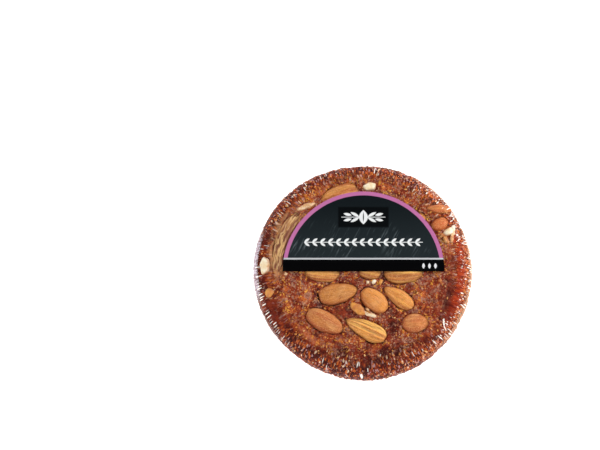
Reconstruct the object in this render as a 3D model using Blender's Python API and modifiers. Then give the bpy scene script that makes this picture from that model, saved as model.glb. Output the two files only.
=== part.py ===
"""A round pressed fig bread with whole almonds in its top, shrink-wrapped, with a half-round label.

Metres, +Z up. The origin is the middle of the flat base. The label covers the +Y half of the top.
The bread and its tight clear wrap are one solid. Almonds, nut pieces and a strip of fig flesh
lie in pockets in it.
"""

import math
from typing import NamedTuple

import bmesh
import bpy
from mathutils import Matrix, Vector, noise

MM = 0.001

# The bread: a low drum of fig paste with rounded edges. Out of round is a sum of waves, each
# with its count round the edge, its share of the radius and its turn. The top sits a little to one
# side, so the -X edge is steeper than the +X edge.
SIDE_RADIUS = 50.0 * MM
SIDE_HEIGHT = 10.5 * MM
TOP_HEIGHT = 21.4 * MM
TOP_FLAT_RADIUS = 41.0 * MM
BASE_FLAT_RADIUS = 42.0 * MM
EDGE_ROUNDNESS = 2.2
OUT_OF_ROUND = ((2, 0.004, 0.6), (3, 0.005, 3.9), (5, 0.003, 1.2))
TOP_SHIFT_X = -1.0 * MM

# The craggy paste between the almonds: soft lumps with sharper crags on them.
LUMP_SPACING = 4.6 * MM
LUMP_HEIGHT = 0.6 * MM
CRAG_SPACING = 2.3 * MM
CRAG_HEIGHT = 0.7 * MM
CRAG_MEAN = 0.2
CRAG_SHIFT = Vector((5, 9, 2))
SMOOTHED_BY_FOLDS = 0.55

# The wrap's shrink folds: fine pleats round the edge, unevenly wide and unevenly deep.
FOLDS = 144
FOLD_DEPTH = 0.55 * MM
FOLDS_START_RADIUS = 37.5 * MM
FOLDS_FULL_RADIUS = 43.5 * MM
FOLD_WANDER = ((7, 0.35), (17, 0.25))
FOLD_MEAN_SHARE = 0.55
FOLD_VARIATION = 0.9
FOLD_LEAST_SHARE = 0.1
FOLD_PATCHES = 14
FOLD_LENGTH = 14 * MM
BASE_FOLD_SHARE = 0.4

# How finely the bread's surface is cut up, and the share of its faces that is kept.
STEPS_ROUND = 2 * FOLDS
TOP_RINGS = 15
EDGE_RINGS = 7
KEPT_SHARE = 0.206
BASE_SNAP = 0.05 * MM
JOIN_DISTANCE = 0.01 * MM

# An almond: round at its blunt end and narrowing to its tip, with furrows along it. It lies in
# a pocket with a small gap.
ALMOND_THICKNESS = 6.6 * MM
ALMOND_SQUARENESS = 2.6
ALMOND_FULLNESS = 0.6
ALMOND_RINGS = 10
FURROWS = 7
FURROW_DEPTH = 0.05
POCKET_GAP = 0.38 * MM


class Almond(NamedTuple):
    """Millimetres and degrees: heading is where the tip points, proud is above the top.

    Blunt and tip are the powers of its outline at its two ends, of which a smaller one is rounder.
    """

    x: float
    y: float
    heading: float
    length: float
    width: float
    proud: float
    dip: float
    roll: float
    blunt: float
    tip: float


ALMONDS = (
    Almond(-17.7, -24.2, -28, 18.8, 10.4, 1.5, 0, -4, 0.40, 0.48),
    Almond(0.9, -27.7, 154, 20.8, 9.6, 1.7, 2, 8, 0.42, 0.66),
    Almond(23.8, -25.0, 4, 12.8, 10.0, 1.3, 6, 0, 0.42, 0.50),
    Almond(4.8, -14.5, 140, 14.8, 10.2, 1.6, 0, 3, 0.42, 0.46),
    Almond(16.0, -13.2, 144, 16.6, 8.4, 1.5, -3, -5, 0.42, 0.68),
    Almond(-11.4, -11.2, 12, 18.6, 10.3, 1.4, 0, 0, 0.34, 0.52),
    Almond(-19.0, -1.4, 176, 17.6, 11.2, 1.0, 0, 0, 0.50, 0.60),
    Almond(2.4, -0.8, 165, 12.4, 9.2, 0.9, 0, 0, 0.50, 0.60),
    Almond(18.7, -1.8, 3, 19.6, 11.2, 1.1, 0, -3, 0.50, 0.60),
    Almond(-10.9, 33.6, 198, 20.4, 11.8, 0.9, 0, 0, 0.50, 0.68),
    Almond(34.0, 27.4, 177, 12.6, 5.0, 0.3, -14, 16, 0.50, 0.68),
    Almond(24.1, 21.2, 50, 13.0, 8.8, 1.0, 0, 0, 0.50, 0.68),
    Almond(34.4, 20.4, 205, 9.4, 7.3, 0.7, -7, 4, 0.50, 0.60),
)

# Broken pieces of blanched almond, worked in at the edge and between the almonds.
PIECE_CORNERS = 5
PIECE_TAPER = 0.84
PIECE_BEVEL = 0.7 * MM
PIECE_GAP = 0.46 * MM


class NutPiece(NamedTuple):
    """Millimetres and degrees: lean is the tilt outwards, over the bread's edge."""

    x: float
    y: float
    middle_height: float
    heading: float
    lean: float
    length: float
    width: float
    thickness: float


NUT_PIECES = (
    NutPiece(2.9, 37.7, 20.4, 12, 18, 7.0, 4.2, 3.6),
    NutPiece(-44.4, 1.5, 19.5, 87, 38, 10.2, 5.2, 4.0),
    NutPiece(39.0, 17.2, 20.1, 32, 30, 6.6, 3.0, 3.2),
    NutPiece(-42.4, -11.0, 19.4, 62, 40, 5.2, 4.8, 3.4),
    NutPiece(-2.5, -18.6, 20.4, -38, 0, 9.0, 3.8, 3.6),
    NutPiece(-26.0, 28.6, 20.8, 20, 4, 10.0, 2.4, 2.6),
)

# A strip of pale fig flesh with fibres along it, curved along the bread's edge.
FIG_ARC_RADIUS = 39.2 * MM
FIG_START_DEGREES = 139
FIG_END_DEGREES = 183
FIG_WIDTH = 6.4 * MM
FIG_THICKNESS = 3.4 * MM
FIG_MIDDLE_HEIGHT = 20.1 * MM
FIG_LEAN_DEGREES = 6
FIG_BLUNTNESS = 0.36
FIG_RINGS = 16
FIBRES = 7
FIBRE_DEPTH = 0.06

# The label: a half disc stuck to the wrap, flat over the almonds that it covers. The paste is
# pressed smoother and a little higher under it.
LABEL_RADIUS = 36.8 * MM
LABEL_THICKNESS = 0.25 * MM
LABEL_FLAT_EDGE_Y = -1.4 * MM
LABEL_ARC_STEPS = 48
LABEL_GAP = 0.35 * MM
LABEL_RIM = 4 * MM
LABEL_PRESS = 0.3 * MM
SMOOTHED_BY_LABEL = 0.6


def clear_scene():
    for thing in list(bpy.data.objects):
        bpy.data.objects.remove(thing)


def new_collection(name):
    collection = bpy.data.collections.new(name)
    bpy.context.scene.collection.children.link(collection)
    return collection


def paint(name, colour, roughness):
    material = bpy.data.materials.new(name)
    material.use_nodes = True
    shader = material.node_tree.nodes["Principled BSDF"]
    shader.inputs["Base Color"].default_value = (*colour, 1)
    shader.inputs["Roughness"].default_value = roughness
    shader.inputs["Metallic"].default_value = 0.0
    return material


def put(collection, name, data, material):
    """A new object in the collection, made of one material."""
    thing = bpy.data.objects.new(name, data)
    thing.data.materials.append(material)
    collection.objects.link(thing)
    return thing


def put_cutter(cutters, name, data, material):
    cutter = put(cutters, name, data, material)
    cutter.hide_render = True
    cutter.display_type = "WIRE"
    return cutter


def mesh_of(name, shape):
    mesh = bpy.data.meshes.new(name)
    shape.to_mesh(mesh)
    shape.free()
    return mesh


def evaluated(name, mesh, kind, **settings):
    """The mesh that one modifier makes of a mesh."""
    blank = bpy.data.objects.new(name, mesh)
    bpy.context.scene.collection.objects.link(blank)
    modifier = blank.modifiers.new(name, kind)
    for setting, value in settings.items():
        setattr(modifier, setting, value)
    graph = bpy.context.evaluated_depsgraph_get()
    result = bpy.data.meshes.new_from_object(blank.evaluated_get(graph))
    bpy.data.objects.remove(blank)
    return result


def smooth_step(value, low, high):
    share = min(max((value - low) / (high - low), 0.0), 1.0)
    return share * share * (3 - 2 * share)


def signed_power(value, power):
    return math.copysign(abs(value) ** power, value)


def edge_arc(flat_radius, flat_height):
    """Points of one rounded edge, from its flat face to the widest level."""
    reach = SIDE_RADIUS - flat_radius
    rise = flat_height - SIDE_HEIGHT
    points = []
    for i in range(EDGE_RINGS + 1):
        turn = math.pi / 2 * i / EDGE_RINGS
        out = math.sin(turn) ** (2 / EDGE_ROUNDNESS)
        up = math.cos(turn) ** (2 / EDGE_ROUNDNESS)
        points.append((flat_radius + reach * out, SIDE_HEIGHT + rise * up))
    return points


def bread_profile():
    """The section's points: out along the top, round the edge and in along the base."""
    top = [(TOP_FLAT_RADIUS * i / TOP_RINGS, TOP_HEIGHT) for i in range(TOP_RINGS)]
    upper = edge_arc(TOP_FLAT_RADIUS, TOP_HEIGHT)
    lower = edge_arc(BASE_FLAT_RADIUS, 0.0)[::-1]
    return [*top, *upper, *lower[1:], (0.0, 0.0)]


def turned_drum():
    """The plain drum: the section turned about the upright axis."""
    shape = bmesh.new()
    corners = [shape.verts.new((radius, 0, height)) for radius, height in bread_profile()]
    for upper, lower in zip(corners, corners[1:]):
        shape.edges.new((upper, lower))
    return evaluated(
        "turned",
        mesh_of("section", shape),
        "SCREW",
        steps=STEPS_ROUND,
        render_steps=STEPS_ROUND,
        use_merge_vertices=True,
        merge_threshold=JOIN_DISTANCE,
    )


def out_of_round(angle):
    return 1 + sum(share * math.cos(waves * angle + turn) for waves, share, turn in OUT_OF_ROUND)


def under_label(point):
    """1 well inside the label's outline, falling to 0 at its rim and on the side and base."""
    if point.z < SIDE_HEIGHT:
        return 0.0
    radial = 1 - smooth_step(point.xy.length, LABEL_RADIUS - LABEL_RIM, LABEL_RADIUS)
    return radial * smooth_step(point.y, LABEL_FLAT_EDGE_Y, LABEL_FLAT_EDGE_Y + LABEL_RIM)


def fold(point):
    """How far the pleats push the surface in at a point."""
    angle = math.atan2(point.y, point.x)
    wander = sum(size * math.sin(waves * angle) for waves, size in FOLD_WANDER)
    valley = 0.5 - 0.5 * math.cos(FOLDS * angle + wander)
    patch = Vector((math.cos(angle), math.sin(angle), 0)) * FOLD_PATCHES
    patch.z = point.z / FOLD_LENGTH
    share = FOLD_MEAN_SHARE + FOLD_VARIATION * noise.noise(patch)
    return FOLD_DEPTH * valley * min(max(share, FOLD_LEAST_SHARE), 1.0)


def crags(point):
    """The paste's lumps and crags, above or below its mean level."""
    lumps = noise.noise(point / LUMP_SPACING)
    ridges = abs(noise.noise(point / CRAG_SPACING + CRAG_SHIFT)) - CRAG_MEAN
    return lumps * LUMP_HEIGHT + ridges * CRAG_HEIGHT


def moulded(point, normal):
    """Where a point of the plain drum goes on the pleated, craggy and out-of-round bread."""
    on_base = point.z < JOIN_DISTANCE
    radius = point.xy.length
    if on_base and radius < BASE_FLAT_RADIUS - MM:
        return point.copy()
    folded = smooth_step(radius, FOLDS_START_RADIUS, FOLDS_FULL_RADIUS)
    pressed = under_label(point)
    rise = LABEL_PRESS * pressed - fold(point) * folded * (BASE_FOLD_SHARE if on_base else 1.0)
    if not on_base:
        rise += crags(point) * (1 - SMOOTHED_BY_FOLDS * folded) * (1 - SMOOTHED_BY_LABEL * pressed)
    moved = point + normal * rise
    moved.xy *= out_of_round(math.atan2(point.y, point.x))
    moved.x += TOP_SHIFT_X * smooth_step(point.z, SIDE_HEIGHT, TOP_HEIGHT)
    moved.z = max(moved.z, 0.0)
    return moved


def bread_mesh():
    """The moulded bread with fewer faces, its base flat at z = 0."""
    full = turned_drum()
    moves = [moulded(corner.co, corner.normal) for corner in full.vertices]
    for corner, moved in zip(full.vertices, moves):
        corner.co = moved
    light = evaluated("fewer_faces", full, "DECIMATE", ratio=KEPT_SHARE)
    for corner in light.vertices:
        if corner.co.z < BASE_SNAP:
            corner.co.z = 0.0
    return light


def almond_mesh(name, length, width, thickness, blunt, tip):
    """An almond that lies along X with its tip at +X."""
    shape = bmesh.new()
    bmesh.ops.create_uvsphere(shape, u_segments=2 * FURROWS, v_segments=ALMOND_RINGS, radius=1.0)
    widest = blunt / (blunt + tip)
    fullest = widest**blunt * (1 - widest) ** tip
    for corner in shape.verts:
        along = min(max(corner.co.z, -1.0), 1.0)
        share = (1 + along) / 2
        turn = math.atan2(corner.co.y, corner.co.x)
        body = share**blunt * (1 - share) ** tip / fullest
        furrow = 1 - FURROW_DEPTH * (0.5 + 0.5 * math.cos(FURROWS * turn))
        across = signed_power(math.cos(turn), 2 / ALMOND_SQUARENESS)
        up = signed_power(math.sin(turn), 2 / ALMOND_SQUARENESS)
        corner.co.x = along * length / 2
        corner.co.y = across * body * furrow * width / 2
        corner.co.z = up * body**ALMOND_FULLNESS * furrow * thickness / 2
    mesh = mesh_of(name, shape)
    mesh.shade_smooth()
    return mesh


def nut_piece_mesh(name, length, width, thickness):
    """A broken nut: a short uneven prism with softened edges."""
    shape = bmesh.new()
    bmesh.ops.create_cone(
        shape,
        cap_ends=True,
        segments=PIECE_CORNERS,
        radius1=0.5,
        radius2=0.5 * PIECE_TAPER,
        depth=1.0,
    )
    bmesh.ops.scale(shape, vec=(length, width, thickness), verts=shape.verts)
    bmesh.ops.bevel(
        shape,
        geom=list(shape.edges),
        offset=PIECE_BEVEL,
        offset_type="OFFSET",
        segments=2,
        profile=0.5,
        affect="EDGES",
    )
    return mesh_of(name, shape)


def fig_flesh_mesh(name, gap):
    """The strip, with every side moved out by the gap."""
    shape = bmesh.new()
    bmesh.ops.create_uvsphere(shape, u_segments=2 * FIBRES, v_segments=FIG_RINGS, radius=1.0)
    middle = math.radians((FIG_START_DEGREES + FIG_END_DEGREES) / 2)
    half_turn = math.radians((FIG_END_DEGREES - FIG_START_DEGREES) / 2) + gap / FIG_ARC_RADIUS
    slope = math.tan(math.radians(FIG_LEAN_DEGREES))
    for corner in shape.verts:
        along = min(max(corner.co.z, -1.0), 1.0)
        turn = math.atan2(corner.co.y, corner.co.x)
        body = (1 - along * along) ** FIG_BLUNTNESS
        body *= 1 - FIBRE_DEPTH * (0.5 + 0.5 * math.cos(FIBRES * turn))
        out = signed_power(math.sin(turn), 2 / ALMOND_SQUARENESS) * body * (FIG_WIDTH / 2 + gap)
        up = signed_power(math.cos(turn), 2 / ALMOND_SQUARENESS) * body * (FIG_THICKNESS / 2 + gap)
        angle = middle + along * half_turn
        corner.co.x = (FIG_ARC_RADIUS + out) * math.cos(angle)
        corner.co.y = (FIG_ARC_RADIUS + out) * math.sin(angle)
        corner.co.z = FIG_MIDDLE_HEIGHT + up - out * slope
    mesh = mesh_of(name, shape)
    mesh.shade_smooth()
    return mesh


def almond_pose(almond):
    middle = TOP_HEIGHT + almond.proud * MM - ALMOND_THICKNESS / 2
    pose = Matrix.Translation((almond.x * MM, almond.y * MM, middle))
    for degrees, axis in ((almond.heading, "Z"), (almond.dip, "Y"), (almond.roll, "X")):
        pose @= Matrix.Rotation(math.radians(degrees), 4, axis)
    return pose


def piece_pose(piece):
    edge_tangent = Vector((-piece.y, piece.x, 0)).normalized()
    pose = Matrix.Translation(Vector((piece.x, piece.y, piece.middle_height)) * MM)
    for degrees, axis in ((piece.lean, edge_tangent), (piece.heading, "Z")):
        pose @= Matrix.Rotation(math.radians(degrees), 4, axis)
    return pose


def add_almonds(parts, cutters, skin):
    for number, almond in enumerate(ALMONDS, 1):
        name = f"almond_{number:02d}"
        sizes = (almond.length * MM, almond.width * MM, ALMOND_THICKNESS)
        pocket = (size + 2 * POCKET_GAP for size in sizes)
        ends = (almond.blunt, almond.tip)
        solid = put(parts, name, almond_mesh(name, *sizes, *ends), skin)
        cutter = put_cutter(cutters, f"{name}_pocket", almond_mesh(name, *pocket, *ends), skin)
        solid.matrix_world = cutter.matrix_world = almond_pose(almond)


def add_nut_pieces(parts, cutters, blanched):
    for number, piece in enumerate(NUT_PIECES, 1):
        name = f"nut_piece_{number}"
        sizes = [size * MM for size in (piece.length, piece.width, piece.thickness)]
        pocket = (size + 2 * PIECE_GAP for size in sizes)
        solid = put(parts, name, nut_piece_mesh(name, *sizes), blanched)
        cutter = put_cutter(cutters, f"{name}_pocket", nut_piece_mesh(name, *pocket), blanched)
        solid.matrix_world = cutter.matrix_world = piece_pose(piece)


def add_fig_flesh(parts, cutters, flesh):
    put(parts, "fig_flesh", fig_flesh_mesh("fig_flesh", 0.0), flesh)
    put_cutter(cutters, "fig_flesh_pocket", fig_flesh_mesh("fig_flesh_pocket", POCKET_GAP), flesh)


def add_bread(parts, cutters, paste):
    bread = put(parts, "fig_bread", bread_mesh(), paste)
    pockets = bread.modifiers.new("pockets", "BOOLEAN")
    pockets.operation = "DIFFERENCE"
    pockets.operand_type = "COLLECTION"
    pockets.collection = cutters
    pockets.solver = "EXACT"


def reaches_label(almond):
    half = almond.width / 2 * MM
    inside_flat_edge = almond.y * MM + half > LABEL_FLAT_EDGE_Y
    return inside_flat_edge and math.hypot(almond.x, almond.y) * MM - half < LABEL_RADIUS


def add_label(parts, paper):
    """The label's outline is a semicircle, closed by its straight edge."""
    outline = bpy.data.curves.new("label", "CURVE")
    outline.dimensions = "2D"
    outline.fill_mode = "BOTH"
    outline.extrude = LABEL_THICKNESS / 2
    spline = outline.splines.new("POLY")
    spline.points.add(LABEL_ARC_STEPS)
    for i, point in enumerate(spline.points):
        turn = math.pi * i / LABEL_ARC_STEPS
        point.co = (LABEL_RADIUS * math.cos(turn), LABEL_RADIUS * math.sin(turn), 0, 1)
    spline.use_cyclic_u = True
    highest = max(almond.proud for almond in ALMONDS if reaches_label(almond)) * MM
    label = put(parts, "label", outline, paper)
    label.location.y = LABEL_FLAT_EDGE_Y
    label.location.z = TOP_HEIGHT + highest + LABEL_GAP + LABEL_THICKNESS / 2


def main():
    clear_scene()
    parts = new_collection("fig bread")
    cutters = new_collection("pocket cutters")
    add_almonds(parts, cutters, paint("almond skin", (0.50, 0.24, 0.08), 0.55))
    add_nut_pieces(parts, cutters, paint("blanched almond", (0.80, 0.68, 0.48), 0.5))
    add_fig_flesh(parts, cutters, paint("fig flesh", (0.42, 0.21, 0.09), 0.45))
    add_bread(parts, cutters, paint("fig paste", (0.20, 0.065, 0.03), 0.35))
    add_label(parts, paint("label paper", (0.02, 0.025, 0.03), 0.4))


main()
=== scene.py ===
import math

import bpy
import numpy as np
from mathutils import Matrix, Vector, noise
from mathutils.bvhtree import BVHTree


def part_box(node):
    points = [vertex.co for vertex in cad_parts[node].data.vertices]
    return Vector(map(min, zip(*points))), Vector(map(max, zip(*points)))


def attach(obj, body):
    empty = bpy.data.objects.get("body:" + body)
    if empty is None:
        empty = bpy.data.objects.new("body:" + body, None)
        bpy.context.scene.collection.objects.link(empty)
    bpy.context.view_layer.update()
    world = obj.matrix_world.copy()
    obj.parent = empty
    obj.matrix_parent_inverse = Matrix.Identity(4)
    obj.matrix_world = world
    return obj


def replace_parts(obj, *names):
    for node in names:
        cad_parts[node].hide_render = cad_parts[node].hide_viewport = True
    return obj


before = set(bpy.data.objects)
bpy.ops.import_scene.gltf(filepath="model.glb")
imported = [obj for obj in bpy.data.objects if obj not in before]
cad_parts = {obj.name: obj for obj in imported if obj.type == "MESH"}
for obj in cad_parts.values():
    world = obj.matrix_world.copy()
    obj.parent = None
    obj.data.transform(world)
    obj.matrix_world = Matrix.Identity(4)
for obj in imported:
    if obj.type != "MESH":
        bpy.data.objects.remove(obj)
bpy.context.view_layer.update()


# THE FIG PASTE. Dried figs are minced, seeds and all, and pressed into a low round: this is the
# bread itself. It is moist and craggy, laps against the nuts in some places and falls away from them
# in others, where painted shade darkens the gap, and the tight wrap draws its edge smooth and dark.

MM = 0.001
TOP_HEIGHT, SIDE_HEIGHT = 21.4 * MM, 10.5 * MM
FLAT_RADIUS, BASE_RADIUS, SIDE_RADIUS = 41 * MM, 42 * MM, 50 * MM
EDGE_ROUNDNESS = 2.2
SAME_SPOT, PASTE_GRID = 0.002 * MM, 0.51 * MM
PLUG_GROWTH, PLUG_DEPTH = 0.5 * MM, 0.45 * MM
LUMP_SIZE, LUMP_RISE = 3.4 * MM, 0.7 * MM
GRAIN_SIZE, GRAIN_RISE = 1.5 * MM, 0.55 * MM
SIDE_SHARE, CRAGGY_LEVEL, SMOOTH_RIM = 0.35, (15 * MM, 19 * MM), (43 * MM, 48 * MM)
NEAR_NUT, NUT_CLEARANCE, PROBE = 2.6 * MM, 0.8 * MM, 8 * MM
LAP_WIDTH, LAP_RISE, MOST_LAPPED = 1.3 * MM, 0.35 * MM, 0.3 * MM
LAP_PATCH, PATCH_SHIFT = 6 * MM, Vector((3, 8, 5))
CREVICE_WIDTH, CREVICE_DEPTH = 1.3 * MM, 1.4 * MM
CREVICE_SIDE = Vector((-0.6, -0.8, 0))
OPEN_BELOW = dict(almond_01=0.2, almond_04=0.3, almond_06=1.1, almond_08=0.4, almond_09=0.9)
OUTLINE = (0.1 * MM, 0.8 * MM)
FIBRE_REACH = 2.2 * MM
BASE_LIFT, AIR_GAP, STROKE_LEVEL = 0.16 * MM, 0.35 * MM, (9 * MM, 15 * MM)
PRESSED_EDGE, DARK_EDGE, RIM = (44.5 * MM, 49 * MM), (39.5 * MM, 42.5 * MM), (43.5 * MM, 46 * MM)
GLOW_FROM, GLOW_TO, SUNNY_RIM = (42 * MM, 43.5 * MM), (45.5 * MM, 47.5 * MM), (44.5 * MM, 47.5 * MM)
# In millimetres and degrees: x, y, length, width, heading, and how much lighter or, below 0, darker.
# Some are the paste's own tone; the darkest, in the gaps beside the almonds and round the lower and
# left rim, are painted shade.
TONE_PATCHES = (
    (-42, -15, 24, 6, -70, -1.0), (-33, -30, 20, 6, -45, -0.9), (-10, -40, 34, 6, -6, -0.9),
    (15, -38, 26, 6, 22, -0.9), (38.6, -16, 22, 5, 76, -1.3), (13, -26, 12, 5, -60, -0.5),
    (-10, -20, 9, 7, 0, -0.4), (-43, 20, 24, 5, 68, -0.9), (8.7, -4.4, 2, 7, 0, -1.6),
    (-20.5, -14.5, 3, 10, 15, -1.4), (-25.5, -13, 6, 8, 0, 0.8), (-33, -8, 8, 8, 0, 0.3),
    (-19, 37, 24, 7, 27, 0.8), (-31, 26, 12, 9, 55, 0.9), (28, 36, 18, 9, -42, 0.8),
    (39, 13, 8, 12, 0, 0.9), (26, -13, 6, 5, 0, 0.8), (31, -24, 10, 4, 70, 0.3),
    (-25, -31, 24, 3, -38, 0.7), (-8, -32.5, 15, 3, -12, 0.6), (5, 40.5, 9, 3, 0, 0.8),
)
# The same, and last how far the paste is pressed smooth there.
SMOOTH_PATCHES = (
    (-10, -20, 8, 7, 0, 1.0), (12, -29, 5, 4, 40, 0.6), (-41.5, -20, 20, 9, -65, 1.0),
    (-46, 4, 26, 5, 92, 0.8), (-27, -29, 18, 6, -42, 0.7), (-12, -35.5, 14, 5, -15, 0.6),
    (8, -36.5, 14, 4, 8, 0.6), (38.5, -14, 18, 8, 80, 0.9), (39, 3, 14, 5, 90, 0.5),
    (29, -31, 14, 6, 50, 0.5),
)


def set_all(thing, settings):
    """Gives the thing each of the settings, and hands it back."""
    for name, value in settings.items():
        setattr(thing, name, value)
    return thing


def only(piece):
    """Selects one piece and nothing else."""
    bpy.ops.object.select_all(action="DESELECT")
    piece.select_set(True)
    bpy.context.view_layer.objects.active = piece


def edit(piece, operation, **settings):
    """Does one operation of edit mode on the whole of a piece's mesh."""
    only(piece)
    bpy.ops.object.mode_set(mode="EDIT")
    bpy.ops.mesh.select_all(action="SELECT")
    operation(**settings)
    bpy.ops.object.mode_set(mode="OBJECT")


def added(name, data):
    """A new object of the scene, with that mesh, lamp or camera."""
    piece = bpy.data.objects.new(name, data)
    bpy.context.scene.collection.objects.link(piece)
    return piece


def surface(piece):
    """The piece's faces, to find the nearest of them or what a ray meets."""
    return BVHTree.FromObject(piece, bpy.context.evaluated_depsgraph_get())


def copied_from(node, name):
    """A new piece with a CAD node's shape, its loose triangles merged."""
    piece = added(name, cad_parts[node].data.copy())
    piece.data.materials.clear()
    only(piece)
    bpy.ops.mesh.customdata_custom_splitnormals_clear()
    edit(piece, bpy.ops.mesh.remove_doubles, threshold=SAME_SPOT)
    return piece


def modify(piece, kind, **settings):
    """Adds one modifier to a piece and applies it."""
    only(piece)
    modifier = set_all(piece.modifiers.new(kind.lower(), kind), settings)
    bpy.ops.object.modifier_apply(modifier=modifier.name)


def texture(name, kind, size, **settings):
    """A pattern for a Displace modifier, with features of that size."""
    return set_all(bpy.data.textures.new(name, kind), {"noise_scale": size, **settings})


def read(piece, value):
    """What each of the piece's vertices has, such as its place or normal, as rows of three."""
    found = np.empty(3 * len(piece.data.vertices))
    piece.data.vertices.foreach_get(value, found)
    return found.reshape(-1, 3)


def move_to(piece, rows):
    """Puts the piece's vertices at those places."""
    piece.data.vertices.foreach_set("co", np.ravel(rows))
    piece.data.update()


def mark(piece, **marks):
    """Keeps a number for each vertex, or one for all, which the material reads by its name."""
    for name, values in marks.items():
        kept = piece.data.attributes.new(name, "FLOAT", "POINT")
        kept.data.foreach_set("value", np.full(len(piece.data.vertices), values, np.float32))


def smooth(value, low, high):
    """0 up to low and 1 from high, smooth between them."""
    share = np.clip((value - low) / (high - low), 0, 1)
    return share * share * (3 - 2 * share)


def outward(rows):
    """The way out of the plain round at places on its skin or close to it."""
    reach = np.hypot(rows[:, 0], rows[:, 1])
    upper = rows[:, 2] > SIDE_HEIGHT
    wide = SIDE_RADIUS - np.where(upper, FLAT_RADIUS, BASE_RADIUS)
    tall = np.where(upper, TOP_HEIGHT - SIDE_HEIGHT, -SIDE_HEIGHT)
    power = EDGE_ROUNDNESS - 1
    out = np.clip((reach - SIDE_RADIUS) / wide + 1, 0, 1) ** power / wide
    up = np.clip((rows[:, 2] - SIDE_HEIGHT) / tall, 0, 1) ** power / tall
    ways = np.column_stack((rows[:, :2] * (out / np.maximum(reach, MM))[:, None], up))
    return ways / np.linalg.norm(ways, axis=1)[:, None]


def patched(rows, patches):
    """The sum of soft ellipses, each with its middle, length, width, heading and strength."""
    found = np.zeros(len(rows))
    for x, y, length, width, heading, strength in patches:
        turn = math.radians(heading)
        off_x, off_y = rows[:, 0] / MM - x, rows[:, 1] / MM - y
        along = (off_x * math.cos(turn) + off_y * math.sin(turn)) * 2 / length
        across = (off_y * math.cos(turn) - off_x * math.sin(turn)) * 2 / width
        found += strength * np.exp(-(along**2 + across**2))
    return found


def rim_height(reach):
    """The plain round's height above its base, this far from its middle."""
    share = min(max((reach - FLAT_RADIUS) / (SIDE_RADIUS - FLAT_RADIUS), 0), 1)
    fall = (1 - share**EDGE_ROUNDNESS) ** (1 / EDGE_ROUNDNESS)
    return SIDE_HEIGHT + (TOP_HEIGHT - SIDE_HEIGHT) * fall


def towards(rows, degrees, full, none):
    """1 within some degrees of a way out from the middle, falling to 0 at more of them."""
    turn = np.arctan2(rows[:, 1], rows[:, 0]) - math.radians(degrees)
    off = np.abs((turn + math.pi) % (2 * math.pi) - math.pi)
    return 1 - smooth(off, math.radians(full), math.radians(none))


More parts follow.
